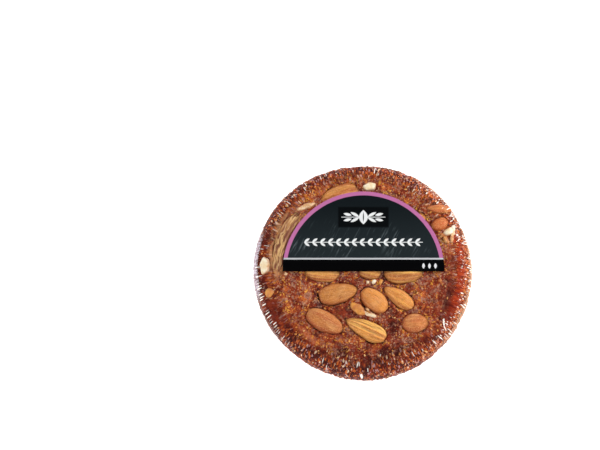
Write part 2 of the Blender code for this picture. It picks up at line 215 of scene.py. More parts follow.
class Socket:
    """A shader socket. Arithmetic on it adds Math nodes, and node() adds any other node."""

    def __init__(self, tree, socket=None):
        self.tree = tree
        self.socket = socket

    def node(self, kind, settings=(), inputs=(), output=0):
        """Adds a node with its settings, and with inputs that are sockets or plain values."""
        made = set_all(self.tree.nodes.new(kind), dict(settings))
        for name, value in dict(inputs).items():
            if isinstance(value, Socket):
                self.tree.links.new(value.socket, made.inputs[name])
            else:
                made.inputs[name].default_value = value
        return Socket(self.tree, made.outputs[output])

    def math(self, operation, *others):
        return self.node("ShaderNodeMath", {"operation": operation}, enumerate((self, *others)))

    def __add__(self, other):
        return self.math("ADD", other)

    def __sub__(self, other):
        return self.math("SUBTRACT", other)

    def __rsub__(self, other):
        return self.node("ShaderNodeMath", {"operation": "SUBTRACT"}, {0: other, 1: self})

    def __mul__(self, other):
        return self.math("MULTIPLY", other)

    def __pow__(self, power):
        return self.math("POWER", power)

    def __abs__(self):
        return self.math("ABSOLUTE")

    __radd__ = __add__
    __rmul__ = __mul__

    def step(self, low, high):
        """0 up to low and 1 from high, smooth between them."""
        ends = {"Value": self, "From Min": low, "From Max": high}
        return self.node("ShaderNodeMapRange", {"interpolation_type": "SMOOTHSTEP"}, ends)

    def mix(self, first, second):
        """From the first colour at 0 to the second at 1."""
        return self.node("ShaderNodeMix", {"data_type": "RGBA"}, {0: self, 6: first, 7: second}, 2)

    def vector(self, operation, *others, output=0):
        values = enumerate((self, *others))
        return self.node("ShaderNodeVectorMath", {"operation": operation}, values, output)

    def stretched(self, x, y, z):
        """This place with each of its axes multiplied."""
        return self.vector("MULTIPLY", (x, y, z))

    def scaled(self, factor):
        """This place with all of its axes multiplied."""
        return self.stretched(factor, factor, factor)

    def part(self, axis):
        """One of the three numbers of this place or colour."""
        return self.node("ShaderNodeSeparateXYZ", inputs={"Vector": self}, output=axis)

    def noise(self, size, detail=2.0, roughness=0.5):
        """Noise over this place, with features of about that size."""
        inputs = {"Vector": self, "Scale": 1 / size, "Detail": detail, "Roughness": roughness}
        return self.node("ShaderNodeTexNoise", inputs=inputs)

    def cells(self, size):
        """A random colour for each of the cells that fill space, of about that size."""
        inputs = {"Vector": self, "Scale": 1 / size}
        return self.node("ShaderNodeTexVoronoi", inputs=inputs, output="Color")

    def warped(self, size, reach):
        """This place moved about by noise of that size, up to about half as far as reach."""
        inputs = {"Vector": self, "Scale": 1 / size, "Detail": 2.0}
        pushes = self.node("ShaderNodeTexNoise", inputs=inputs, output="Color")
        pushes = pushes.vector("SUBTRACT", (0.5, 0.5, 0.5)).scaled(reach)
        return self.vector("ADD", pushes)

    def reach(self):
        """How far out from the middle this place is."""
        return self.stretched(1, 1, 0).vector("LENGTH", output="Value")

    def on_drum(self, radius, height):
        """The place that way out on an upright drum of that radius, at that height."""
        side = self.stretched(1, 1, 0).vector("NORMALIZE").scaled(radius)
        return side.vector("ADD", self.node("ShaderNodeCombineXYZ", inputs={"Z": height}))

    def spokes(self, gap, run):
        """This place for patterns drawn out in lines from the middle and down the side."""
        return self.on_drum(SIDE_RADIUS, (self.reach() - self.part("Z")) * (gap / run))

    def rays(self, gap, run):
        """Noise in lines that run out from the middle and down the side."""
        return self.spokes(gap, run).noise(gap, 3, 0.6)

    def swirls(self, gap, run):
        """Noise in lines that run round the middle."""
        return self.on_drum(SIDE_RADIUS * gap / run, self.reach()).noise(gap, 3, 0.6)

    def bump(self, height, normal=None):
        """A normal from this relief, which is 0 to 1 for a height of that many metres."""
        inputs = {"Height": self, "Distance": height}
        if normal:
            inputs["Normal"] = normal
        return self.node("ShaderNodeBump", inputs=inputs)

    def read(self, name):
        """A number that mark() keeps on the piece."""
        return self.node("ShaderNodeAttribute", {"attribute_name": name}, output="Fac")

    def feed(self, name, value):
        """Links a value to one of the sockets of the material's shader."""
        shader = self.tree.nodes["Principled BSDF"]
        self.tree.links.new(value.socket, shader.inputs[name])


def finish(name, pieces, **constants):
    """A new material on the pieces, its plain values set: a start for its nodes, and its place."""
    material = bpy.data.materials.new(name)
    material.use_nodes = True
    shader = material.node_tree.nodes["Principled BSDF"]
    for socket, value in constants.items():
        shader.inputs[socket.replace("_", " ")].default_value = value
    for piece in pieces:
        piece.data.materials.append(material)
    start = Socket(material.node_tree)
    return start, start.node("ShaderNodeTexCoord", output="Object")


def tone(red, green, blue):
    """A colour from 0 to 255 as a screen shows it, made linear for the shader."""
    return (*(((part / 255 + 0.055) / 1.055) ** 2.4 for part in (red, green, blue)), 1.0)


def painted(colour, *layers):
    """A colour with others laid over it in turn, each layer with its share and its colour."""
    for share, paint in layers:
        colour = share.mix(colour, paint)
    return colour


# Below each nut its pocket is filled, so that the paste is one closed skin all over.
inclusions = sorted(set(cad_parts) - {"fig_bread", "label"})
paste = copied_from("fig_bread", "fig_paste")
plugs = []
for node in sorted(set(inclusions) - {"fig_flesh"}):
    plug = copied_from(node, "plug")
    modify(plug, "DISPLACE", strength=PLUG_GROWTH, mid_level=0)
    middle = read(plug, "co").mean(axis=0)
    middle[2] = rim_height(math.hypot(middle[0], middle[1]))
    way = outward(middle[None])[0]
    level = dict(plane_co=middle - way * PLUG_DEPTH, plane_no=way)
    edit(plug, bpy.ops.mesh.bisect, use_fill=True, clear_outer=True, **level)
    plugs.append(plug)
only(paste)
for plug in plugs:
    plug.select_set(True)
bpy.ops.object.join()
modify(paste, "REMESH", mode="VOXEL", voxel_size=PASTE_GRID, use_smooth_shade=True)

even = read(paste, "co")
reach = np.hypot(even[:, 0], even[:, 1])
on_top = smooth(even[:, 2], *CRAGGY_LEVEL) * (1 - smooth(reach, *SMOOTH_RIM))
crags = paste.vertex_groups.new(name="crags")
for index, share in enumerate(SIDE_SHARE + (1 - SIDE_SHARE) * on_top):
    crags.add((index,), float(share), "REPLACE")
lumps = texture("lumps", "CLOUDS", LUMP_SIZE, noise_depth=2)
grains = texture("grains", "VORONOI", GRAIN_SIZE, noise_intensity=1.2)
where = dict(texture_coords="LOCAL", vertex_group="crags")
for shape, strength in ((lumps, LUMP_RISE), (grains, -GRAIN_RISE)):
    modify(paste, "DISPLACE", texture=shape, strength=strength, **where)
rows = read(paste, "co")
rises = np.einsum("ij,ij->i", rows - even, read(paste, "normal")) / MM

# Over the nuts the paste is lowered clear of them, and beside them it laps up or falls away.
ways = outward(rows)
crevices, fibres = np.zeros(len(rows)), np.zeros(len(rows))
for node in inclusions:
    tree = surface(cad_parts[node])
    low, high = (np.array(corner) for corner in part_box(node))
    near = np.all((rows > low - NEAR_NUT) & (rows < high + NEAR_NUT), axis=1)
    for index in np.flatnonzero(near & (rows[:, 2] > SIDE_HEIGHT)):
        spot, way = Vector(rows[index]), Vector(ways[index])
        nearest, _, _, gap = tree.find_nearest(spot)
        skin = tree.ray_cast(spot + way * PROBE, -way, 2 * PROBE)[0]
        patch = noise.noise(Vector((spot.x, spot.y, 0)) / LAP_PATCH + PATCH_SHIFT)
        lap = LAP_RISE * smooth(patch, 0.05, 0.4) * (1 - smooth(gap, 0, LAP_WIDTH))
        if skin and (skin - spot).dot(way) > -PLUG_GROWTH:
            lowered = min(0, (skin - spot).dot(way) - NUT_CLEARANCE)
            lapping = lap > 0 and lowered > -MOST_LAPPED
            rows[index] += np.array(way) * (lap if lapping else lowered)
        elif node == "fig_flesh":
            fibres[index] = math.exp(-((gap / FIBRE_REACH) ** 2))
        elif node.startswith("almond"):
            below = (spot - nearest).normalized().dot(CREVICE_SIDE)
            open_share = smooth(below * (0.25 + OPEN_BELOW.get(node, 0)) - patch, 0.25, 0.65)
            open_share *= 1 - smooth(gap, 0, CREVICE_WIDTH)
            rows[index] += np.array(way) * (lap - CREVICE_DEPTH * open_share)
            # Painted shade darkens the paste beside each almond: deep where the gap is open, and a thin
            # dark line round the nut elsewhere.
            outline = (0.45 + patch) * (1 - smooth(gap, *OUTLINE))
            crevices[index] = max(crevices[index], open_share, outline)

pulled = AIR_GAP * smooth(reach, *PRESSED_EDGE)
rows[:, :2] *= (1 - pulled / np.maximum(reach, MM))[:, None]
rows[:, 2] = np.maximum(rows[:, 2], BASE_LIFT)
move_to(paste, rows)
# A painted glow: on the right of the ring, towards the lamp, the paste is reddened as though lit
# through.
glows = smooth(reach, *GLOW_FROM) * (1 - smooth(reach, *GLOW_TO)) * towards(rows, 0, 14, 45)
mark(paste, rise=rises, crevice=crevices, fibre=fibres, glow=glows)
mark(paste, edge=smooth(reach, *DARK_EDGE), rim=smooth(reach, *RIM))
# Painted light: the rim towards the lamp on the right is marked to take more and paler strokes and
# fewer dark ones.
mark(paste, sunny=smooth(reach, *SUNNY_RIM) * towards(rows, 5, 42, 70))
mark(paste, strokes=0.35 + 0.65 * smooth(rows[:, 2], *STROKE_LEVEL))
mark(paste, warmth=np.clip(patched(rows, TONE_PATCHES), -1, 1))
mark(paste, minced=1 - np.clip(patched(rows, SMOOTH_PATCHES), 0, 1))

start, place = finish("fig paste", [paste], Roughness=0.6, Specular_IOR_Level=0.1)
rise, crevice, fibre, minced, warmth = map(start.read, ("rise", "crevice", "fibre", "minced", "warmth"))
edge, rim, glow, sunny, strokes = map(start.read, ("edge", "rim", "glow", "sunny", "strokes"))
# Minced fig in dark and light clumps, with mauve skins, amber flesh and pale flecks, and painted shade
# in its hollows. Round the edge a dark red ring, with short strokes where the wrap pinches it: the pale
# and lilac ones partly painted highlights and reflections of the pleats, the dark ones painted shade.
smeared = place.warped(3 * MM, 4 * MM)
mince = place.noise(1 * MM, 3, 0.75)
clumps = smeared.noise(5 * MM, 3, 0.6)
arcs = place.warped(4 * MM, 3 * MM).swirls(1.2 * MM, 8 * MM)
skins = smeared.noise(3.4 * MM, 3, 0.6)
gold = smeared.noise(4 * MM, 2, 0.5)
flecks = place.noise(0.75 * MM, 2, 0.6)
bit = place.warped(1.8 * MM, 3 * MM).cells(0.75 * MM)
kind, shade = bit.part("X"), bit.part("Y")
light = (mince - 0.5) * minced * 0.9 + (clumps - 0.5) * 0.8 + (arcs - 0.5) * 0.6 + warmth * 0.25
mauve = (kind + (skins - 0.5) * 2.2).step(0.7, 0.8) * minced
amber = (1 - kind + (gold - 0.5) * 1.6 + warmth * 0.2).step(0.9, 0.96) * minced
stroke = place.warped(2 * MM, 1.2 * MM).spokes(0.55 * MM, 1.7 * MM).cells(0.55 * MM)
tint, pinches = stroke.part("Y"), place.rays(1.3 * MM, 6 * MM)
pinch = stroke.part("X") + (pinches - 0.5) * 0.8 + warmth * 0.1 + sunny * 0.12
# Orange paste strokes, with lilac and cream ones that are partly painted reflections and highlights of
# the film, and more orange on the lit side.
stroked = painted(
    tint.step(0.56, 0.66).mix(tone(198, 96, 32), tone(178, 138, 138)),
    (tint.step(0.86, 0.9), tone(242, 212, 176)),
    (sunny * 0.7, tone(204, 108, 52)),
)
ring = painted(
    (clumps + (arcs - 0.5) * 0.5).step(0.38, 0.62).mix(tone(84, 16, 4), tone(134, 44, 14)),
    (pinch.step(0.68, 0.76) * minced * strokes * 0.85, stroked),
    # dark strokes of painted shade between the pleats, lighter on the lit side
    (pinch.step(0.4, 0.3) * minced * strokes * 0.85, sunny.mix(tone(48, 8, 4), tone(104, 34, 10))),
)
colour = painted(
    light.step(-0.26, 0.0).mix(tone(66, 14, 8), tone(132, 46, 22)),
    (light.step(0.0, 0.26), tone(190, 96, 52)),
    (mauve * 0.75, shade.mix(tone(112, 64, 62), tone(206, 156, 124))),
    (amber * 0.85, shade.mix(tone(190, 84, 26), tone(246, 182, 72))),
    (skins.step(0.5, 0.6) * 0.3 * minced, tone(134, 72, 64)),
    (flecks.step(0.62, 0.7) * 0.6 * minced, tone(240, 190, 138)),
    (flecks.step(0.4, 0.32) * 0.8, tone(50, 12, 12)),
    (edge * (0.7 + rim * 0.3), ring),
    # the painted glow of light through the paste
    (glow * 0.8, pinches.step(0.3, 0.7).mix(tone(100, 12, 0), tone(176, 54, 6))),
    # more painted shade between the pleats on the rim away from the lit side
    (rim * (1 - sunny) * pinches.step(0.46, 0.36) * 0.7, tone(48, 10, 4)),
    (fibre * 0.8, arcs.step(0.42, 0.6).mix(tone(116, 62, 48), tone(196, 146, 100))),
    # painted shade in the hollows of the crags, weaker towards the edge
    (rise.step(-0.1, -0.5) * (0.7 - edge * 0.4), tone(54, 14, 8)),
    # painted shade in the gaps beside the almonds
    (crevice.step(0.1, 0.7), tone(34, 14, 14)),
)
start.feed("Base Color", colour)
start.feed("Normal", flecks.bump(0.3 * MM, mince.bump(0.3 * MM)))

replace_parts(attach(paste, "root"), "fig_bread")


# THE ALMONDS. Whole shelled almonds in their brown skins, pushed into the top of the paste by
# hand. The skin is thin, dry and powdery, with furrows from the blunt end to the tip, which are
# deep on some nuts and faint on others.

ALMOND_GRID = 0.3 * MM
FURROWS_ROUND, FURROW_RUN, NEXT_NUT = 4.6, 24 * MM, 7
FURROW_WIDTH, FURROW_DEPTH = 0.3, 0.16 * MM
DENT_SIZE, DENT_DEPTH = 4 * MM, 0.25 * MM
# The way to the lamp, for the painted shade on the almonds.
SUNNY_SIDE = Vector((0.3, 0.12, 0.94))
# For each almond: how dark its skin is, how deep its furrows are, and how brown and dull it is.
ROASTS = (0.85, 0.05, 0.8, 0.35, 0.3, 0.2, 0.9, 0.7, 0.4, 0.7, 1.0, 0.5, 1.1)
GRAINS = (0.15, 1.0, 0.1, 0.1, 0.4, 0.1, 0.6, 0.6, 0.9, 0.4, 0.3, 0.3, 0.1)
DULLS = (0.3, 0.0, 0.15, 0.1, 0.0, 0.5, 0.25, 0.3, 0.25, 0.2, 0.0, 0.0, 0.0)

almonds = []
for number, (roast, grain, dull) in enumerate(zip(ROASTS, GRAINS, DULLS), 1):
    node = f"almond_{number:02d}"
    almond = copied_from(node, f"whole_{node}")
    modify(almond, "REMESH", mode="VOXEL", voxel_size=ALMOND_GRID, use_smooth_shade=True)
    modify(almond, "SMOOTH", iterations=6, factor=0.5)
    rows = read(almond, "co")
    middle = rows.mean(axis=0)
    _, axes = np.linalg.eigh(np.cov((rows - middle).T))
    # The nut's own axes: its length, its width, and upwards through its flatter side.
    long_axis, wide_axis = axes[:, 2], axes[:, 1]
    up_axis = axes[:, 0] * math.copysign(1, axes[2, 0])
    local = (rows - middle) @ np.column_stack((long_axis, wide_axis, up_axis))
    half = np.abs(local).max(axis=0)
    turn = np.arctan2(local[:, 2] / half[2], local[:, 1] / half[1])
    along = local[:, 0] / FURROW_RUN + NEXT_NUT * number
    furrows, dents = np.empty(len(rows)), np.empty(len(rows))
    for index, angle in enumerate(turn):
        round_nut = Vector((math.cos(angle), math.sin(angle), 0)) * FURROWS_ROUND
        round_nut.z = along[index]
        furrows[index] = max(0, 1 - abs(noise.noise(round_nut)) / FURROW_WIDTH)
        dents[index] = noise.noise(Vector(rows[index]) / DENT_SIZE)
    inward = furrows * FURROW_DEPTH * (0.2 + grain) + dents * DENT_DEPTH
    move_to(almond, rows - read(almond, "normal") * inward[:, None])
    mark(almond, roast=roast, grain=grain, dull=dull, furrow=furrows * (0.15 + 0.85 * grain))
    mark(almond, along=along, across=np.cos(turn) * FURROWS_ROUND, over=np.sin(turn) * FURROWS_ROUND)
    # Painted shade: the sides of the nut turned away from the lamp at the upper right are marked to be
    # darker.
    mark(almond, flank=1 - smooth(read(almond, "normal") @ SUNNY_SIDE, 0.45, 0.99))
    almonds.append(almond)

start, place = finish("almond skin", almonds, Roughness=0.6, Specular_IOR_Level=0.25)
furrow, roast, grain, dull, flank = map(start.read, ("furrow", "roast", "grain", "dull", "flank"))
on_nut = {"X": start.read("along"), "Y": start.read("across"), "Z": start.read("over")}
lengthwise = start.node("ShaderNodeCombineXYZ", inputs=on_nut)
streaks = lengthwise.noise(0.42, 3, 0.6)
dashes = lengthwise.stretched(5, 1, 1).noise(0.5, 3, 0.7)
bands = lengthwise.noise(1.3, 2)
powder = place.noise(0.45 * MM, 2, 0.6)
blush = place.noise(6 * MM, 2)
mottle = place.noise(2.4 * MM, 3, 0.6)
colour = painted(
    (roast + (blush - 0.5) * 0.9).mix(tone(240, 160, 70), tone(188, 90, 50)),
    (roast.step(0.92, 1.1), tone(200, 92, 42)),
    (blush.step(0.52, 0.66) * 0.4, tone(244, 184, 112)),
    (mottle.step(0.5, 0.66) * 0.3, tone(226, 160, 104)),
    (dull, tone(150, 84, 38)),
    (bands.step(0.42, 0.56) * grain * 0.85, tone(255, 198, 100)),
    (streaks.step(0.5, 0.64) * (0.1 + grain * 0.6), tone(152, 70, 18)),
    (dashes.step(0.5, 0.66) * 0.45, tone(136, 68, 36)),
    (dashes.step(0.46, 0.34) * 0.3, tone(244, 184, 120)),
    (furrow * 0.6, tone(120, 54, 24)),
    # painted shade on the sides away from the lamp
    (flank * (0.7 - grain * 0.35), tone(140, 50, 14)),
    (powder.step(0.5, 0.7) * 0.3, tone(246, 198, 144)),
    (powder.step(0.42, 0.3) * 0.35, tone(130, 68, 40)),
)
start.feed("Base Color", colour)
start.feed("Roughness", 0.5 + powder * 0.25)
start.feed("Normal", streaks.bump(0.08 * MM, powder.bump(0.05 * MM)))
for almond in almonds:
    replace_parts(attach(almond, "root"), almond.name.removeprefix("whole_"))


# THE BROKEN NUTS. Pieces of blanched almond worked in with the paste, from ivory where they are
# freshly broken to amber where the figs have stained them, and crumbs of the same all round them.

NUT_GRID = 0.22 * MM
BREAK_SIZE, BREAK_RISE = 1.8 * MM, 0.6 * MM
# For each piece: how amber it is, and how much wider it is than its solid.
STAINS = (0.0, 0.1, 0.1, 0.95, 0.75, 0.45)
SPREADS = (1.1, 1.0, 1.25, 1.1, 1.2, 1.15)
SMALL_CRUMBS, CRUMB_REACH = 120, 44
CRUMB_SINK, CRUMB_HEIGHT, CRUMB_BUMPS = 0.35, 0.8, 0.7
# In millimetres and degrees: x, y, length, width, heading, and how stained.
BIG_CRUMBS = (
    (1.9, -6.2, 1.5, 1.2, 20, 0.3), (4.7, -6.1, 2.0, 1.7, 70, 0.1), (7.9, -6.2, 3.4, 1.5, 80, 0.9),
    (3.3, -21.5, 4.6, 2.0, -20, 0.3), (1.4, -20.4, 2.4, 1.2, -35, 0.4),
    (-35.2, -2.4, 1.5, 1.6, 80, 0.4), (-26.2, -2.5, 1.2, 1.0, 0, 0.4),
    (-20.2, -7.6, 1.4, 1.0, 60, 0.9), (37.4, 13.2, 4.6, 2.2, 115, 0.6),
    (35.8, 15.4, 2.2, 1.3, 45, 0.6), (40.2, 14.2, 4.0, 1.8, 90, 0.5),
    (34.8, -5.6, 1.8, 1.3, 30, 0.9), (40.8, 19.2, 3.0, 1.8, 70, 0.2),
    (41.0, 16.8, 2.6, 1.5, 100, 0.4), (36.4, 18.0, 2.2, 1.2, 30, 0.3),
    (1.8, -19.0, 2.4, 1.3, -50, 0.5),
)


def taken_from(model):
    """The vertices and faces of a plain shape, which is then removed."""
    shape = read(model, "co")
    sides = [list(face.vertices) for face in model.data.polygons]
    bpy.data.objects.remove(model)
    return shape, sides


def built(name, rows, faces):
    """A new piece from its vertices and faces."""
    mesh = bpy.data.meshes.new(name)
    mesh.from_pydata(rows, [], faces)
    mesh.shade_smooth()
    return added(name, mesh)


def scattered(name, copies, sides):
    """A new piece from the vertices of each copy of a shape, and that shape's faces."""
    size = len(copies[0])
    faces = [[number * size + i for i in side] for number in range(len(copies)) for side in sides]
    return built(name, np.concatenate(copies), faces)


nut_pieces = []
breaks = texture("breaks", "CLOUDS", BREAK_SIZE, noise_depth=2)
for number, (stain, spread) in enumerate(zip(STAINS, SPREADS), 1):
    node = f"nut_piece_{number}"
    nut = copied_from(node, f"broken_{node}")
    modify(nut, "REMESH", mode="VOXEL", voxel_size=NUT_GRID, use_smooth_shade=True)
    modify(nut, "SMOOTH", iterations=4, factor=0.5)
    modify(nut, "DISPLACE", texture=breaks, strength=BREAK_RISE, texture_coords="LOCAL", mid_level=0.15)
    rows = read(nut, "co")
    middle = rows.mean(axis=0)
    move_to(nut, middle + (rows - middle) * (spread, spread, 1))
    facing = np.einsum("ij,ij->i", read(nut, "normal"), outward(read(nut, "co")))
    mark(nut, stain=stain, sunken=1 - smooth(facing, 0.45, 0.95))
    nut_pieces.append(nut)

draw = np.random.default_rng(7)
paste_tree = surface(paste)
bpy.ops.object.select_all(action="DESELECT")
bpy.ops.mesh.primitive_ico_sphere_add(subdivisions=2, radius=0.5)
ball, ball_sides = taken_from(bpy.context.object)
plan = list(BIG_CRUMBS)
for out, angle, size in draw.uniform((0, 0, 0.6), (CRUMB_REACH, 2 * math.pi, 1.15), (SMALL_CRUMBS, 3)):
    out = CRUMB_REACH * math.sqrt(out / CRUMB_REACH)
    width, heading, stain = size * draw.uniform(0.5, 0.9), draw.uniform(0, 180), draw.uniform(0.6, 1.4)
    plan.append((out * math.cos(angle), out * math.sin(angle), size, width, heading, stain))
copies = []
for x, y, length, width, heading, _ in plan:
    sky = Vector((x * MM, y * MM, 2 * TOP_HEIGHT))
    ground, normal, _, _ = paste_tree.ray_cast(sky, (0, 0, -1))
    lie = Vector((0, 0, 1)).rotation_difference(normal).to_matrix()
    lie @= Matrix.Rotation(math.radians(heading), 3, "Z")
    bumps = [1 + CRUMB_BUMPS * noise.noise(Vector(corner) * 2.2 + sky * 900) for corner in ball]
    crumb = ball * np.array(bumps)[:, None] * (length * MM, width * MM, width * CRUMB_HEIGHT * MM)
    middle = ground + normal * width * MM * (0.5 - CRUMB_SINK) * CRUMB_HEIGHT
    copies.append(crumb @ np.array(lie).T + np.array(middle))
crumbs = scattered("nut_crumbs", copies, ball_sides)
mark(crumbs, stain=np.repeat([stain for *_, stain in plan], len(ball)), sunken=0)

start, place = finish("blanched almond", [*nut_pieces, crumbs], Roughness=0.5)
stain = start.read("stain")
cream = place.noise(2.2 * MM, 3)
blots = place.noise(1 * MM, 4, 0.6)
colour = painted(
    cream.step(0.35, 0.65).mix(tone(240, 230, 206), tone(230, 204, 158)),
    (
        (stain + (blots - 0.5) * 0.9).step(0.15, 0.7),
        cream.step(0.35, 0.65).mix(tone(218, 148, 58), tone(184, 104, 46)),
    ),
    (start.read("sunken") * 0.75, tone(180, 112, 62)),
)
start.feed("Base Color", colour)
start.feed("Normal", blots.bump(0.15 * MM))
for nut in nut_pieces:
    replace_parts(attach(nut, "root"), nut.name.removeprefix("broken_"))
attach(crumbs, "root")


# THE FIG FLESH. A strip of paler fig that the mincer left whole, pressed against the edge: tan
# fibres run along it, with brown gaps between them.

FLESH_GRID, FLESH_GROWTH = 0.3 * MM, 0.3 * MM
FIBRE_GAP, FIBRE_RUN, FIBRE_DEPTH = 0.75 * MM, 9 * MM, 0.5 * MM

flesh = copied_from("fig_flesh", "pressed_fig_flesh")
modify(flesh, "REMESH", mode="VOXEL", voxel_size=FLESH_GRID, use_smooth_shade=True)
modify(flesh, "SMOOTH", iterations=4, factor=0.5)
rows = read(flesh, "co")
reach = np.hypot(rows[:, 0], rows[:, 1])
way_round = np.arctan2(-rows[:, 1], -rows[:, 0]) * reach
along = zip(reach / FIBRE_GAP, way_round / FIBRE_RUN, rows[:, 2] / FIBRE_GAP)
threads = np.array([noise.noise(spot) for spot in along])
move_to(flesh, rows + read(flesh, "normal") * (threads * FIBRE_DEPTH + FLESH_GROWTH)[:, None])
mark(flesh, thread=threads)

start, place = finish("fig flesh", [flesh], Roughness=0.5, Specular_IOR_Level=0.25)
thread = start.read("thread")
bent = place.warped(5 * MM, 3 * MM)
fibres, soft = bent.swirls(0.7 * MM, 8 * MM), bent.swirls(2 * MM, 14 * MM)
fine = place.noise(0.5 * MM, 3)
colour = painted(
    thread.step(-0.4, 0.25).mix(tone(124, 70, 46), tone(184, 132, 82)),
    (soft.step(0.5, 0.6) * 0.8, tone(222, 178, 118)),
    (soft.step(0.48, 0.4) * 0.7, tone(138, 84, 66)),
    (fibres.step(0.52, 0.62) * 0.8, tone(110, 58, 44)),
    (fibres.step(0.46, 0.36) * 0.6, tone(232, 194, 140)),
    (fine.step(0.55, 0.7) * 0.4, tone(150, 92, 54)),
)
start.feed("Base Color", colour)
start.feed("Normal", fine.bump(0.2 * MM))
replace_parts(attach(flesh, "root"), "fig_flesh")


# THE SEEDS. Golden fig seeds, about a millimetre long, half sunk in the surface of the paste
# wherever no nut covers it, and thickest where a whole fig went in.

SEEDS, SEED_CLUSTER = 1800, 6 * MM
SEED_LENGTH, SEED_SHAPE = 0.95 * MM, (0.72, 0.6, 1.0)
SEED_STANDS, SEED_LIFT = 0.05 * MM, 0.1 * MM
OPEN_FROM, OPEN_SPACE = 0.1 * MM, 1.6 * MM

contents = [*almonds, *nut_pieces, flesh, crumbs]
covers = [surface(piece) for piece in contents]


def open_above(face):
    """True where nothing lies on that face of the paste."""
    spot = face.center + face.normal * OPEN_FROM
    return all(tree.ray_cast(spot, face.normal, OPEN_SPACE)[0] is None for tree in covers)


bpy.ops.mesh.primitive_uv_sphere_add(segments=6, ring_count=4, radius=SEED_LENGTH / 2)
seed, seed_sides = taken_from(bpy.context.object)
weights = [
    face.area * (0.12 + smooth(noise.noise(face.center / SEED_CLUSTER), -0.05, 0.35))
    for face in paste.data.polygons
]
chosen = draw.choice(len(weights), size=2 * SEEDS, p=np.array(weights) / sum(weights))
copies, ripe = [], []
for face in (paste.data.polygons[index] for index in chosen):
    if len(copies) == SEEDS or not open_above(face):
        continue
    lie = face.normal.to_track_quat("Y", "Z").to_matrix()
    lie @= Matrix.Rotation(draw.uniform(0, 2 * math.pi), 3, "Y")
    middle = np.array(face.center + face.normal * SEED_STANDS)
    copies.append(seed * SEED_SHAPE * draw.uniform(0.6, 1.15) @ np.array(lie).T + middle)
    ripe.append(draw.uniform())
seeds = scattered("fig_seeds", copies, seed_sides)
rows = read(seeds, "co")
rows[:, 2] = np.maximum(rows[:, 2], SEED_LIFT)
move_to(seeds, rows)
mark(seeds, ripeness=np.repeat(ripe, len(seed)))

start, place = finish("fig seeds", [seeds], Roughness=0.35)
ripeness = start.read("ripeness")
husk = place.noise(0.4 * MM, 2)
colour = painted(
    ripeness.step(0.2, 0.8).mix(tone(120, 52, 24), tone(220, 140, 52)),
    (ripeness.step(0.94, 1.0), tone(236, 190, 116)),
    (husk.step(0.5, 0.7) * 0.5, tone(120, 58, 28)),
)
start.feed("Base Color", colour)
start.feed("Normal", husk.bump(0.1 * MM))
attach(seeds, "root")


# THE WRAP. A clear shrink film, drawn tight by heat over the paste and the nuts. It bridges the
# hollows beside the nuts, and round the edge its spare width is gathered into fine upright pleats that
# catch the light, and painted highlights lie along them. On one side it stands off as a milky skirt.

TOP_SHIFT_X = -1 * MM
RING_GAP, BASE_RING_GAP = 0.75 * MM, 2.5 * MM
UPPER_RINGS, LOWER_RINGS = 22, 12
RIM_STEPS, LEAST_STEP = 1280, 0.17 * MM
STAND_OFF, CLEARANCE, WRAP_LIFT = 4 * MM, 0.08 * MM, 0.03 * MM
PULLS, NOTHING_MET = 120, 9.9
PLEAT_GAP, PLEAT_WIDTH, PLEAT_RISE = 1.2 * MM, 0.2 * MM, 0.3 * MM
GLINT_WIDTH, LINE_END = 0.2 * MM, 0.4 * MM
GATHERED, VEIL_FOOT = (44 * MM, 47 * MM), (11.5 * MM, 14 * MM)
SKIRT_TOP, MARGIN_TOP, SIDE_TOP = (46.7 * MM, 47.4 * MM), (48.5 * MM, 49.3 * MM), (49.4 * MM, 50 * MM)
# Folds with painted glints, in millimetres and degrees: x, y, length, width, heading and strength.
FOLDS = (
    (37.3, -24.2, 3.6, 0.8, 92, 1.2), (37.9, -27.2, 3.0, 0.6, 112, 0.9),
    (-0.3, -48.6, 1.8, 1.3, 90, 1.2), (-1.8, -44, 4.5, 0.9, 75, 0.7), (8.5, -40, 4.0, 0.9, 70, 0.6),
    (-17.5, -42, 5.0, 0.9, 70, 0.6), (35.6, -31.2, 3.6, 0.6, -35, 0.9),
    (38.2, -29.8, 2.6, 0.5, -38, 0.7), (33.0, -33.4, 3.6, 0.5, -40, 0.8),
)


def wrap_rings():
    """The wrap's section from the middle of the top to that of the base: radius and height."""
    for radius in np.arange(0, FLAT_RADIUS, RING_GAP):
        yield radius, TOP_HEIGHT
    for flat, level, rings in ((FLAT_RADIUS, TOP_HEIGHT, UPPER_RINGS), (BASE_RADIUS, 0.0, LOWER_RINGS)):
        turns = np.linspace(0, math.pi / 2, rings)
        for turn in turns if level else turns[-2::-1]:
            out = math.sin(turn) ** (2 / EDGE_ROUNDNESS)
            up = math.cos(turn) ** (2 / EDGE_ROUNDNESS)
            yield flat + (SIDE_RADIUS - flat) * out, SIDE_HEIGHT + (level - SIDE_HEIGHT) * up
    for radius in np.arange(BASE_RADIUS - BASE_RING_GAP, 0, -BASE_RING_GAP):
        yield radius, 0.0
    yield 0.0, 0.0


def steps_round(radius):
    """How many vertices a ring has, so that they are not too close together."""
    steps = RIM_STEPS
    while steps > 1 and 2 * math.pi * radius / steps < LEAST_STEP:
        steps //= 2
    return steps if steps >= 10 else 1


def sewn(inner, outer):
    """The faces between two rings of vertices, one of which may have half as many."""
    few, many = sorted((inner, outer), key=len)
    faces = []
    for i in range(len(few)):
        a, b = few[i], few[(i + 1) % len(few)]
        if len(few) == 1:
            faces += [(a, many[j], many[(j + 1) % len(many)]) for j in range(len(many))]
        elif len(few) == len(many):
            faces.append((a, many[i], many[(i + 1) % len(many)], b))
        else:
            c, d, e = (many[(2 * i + j) % len(many)] for j in range(3))
            faces += [(a, c, d), (a, d, b), (b, d, e)]
    return faces if few is inner else [face[::-1] for face in faces]


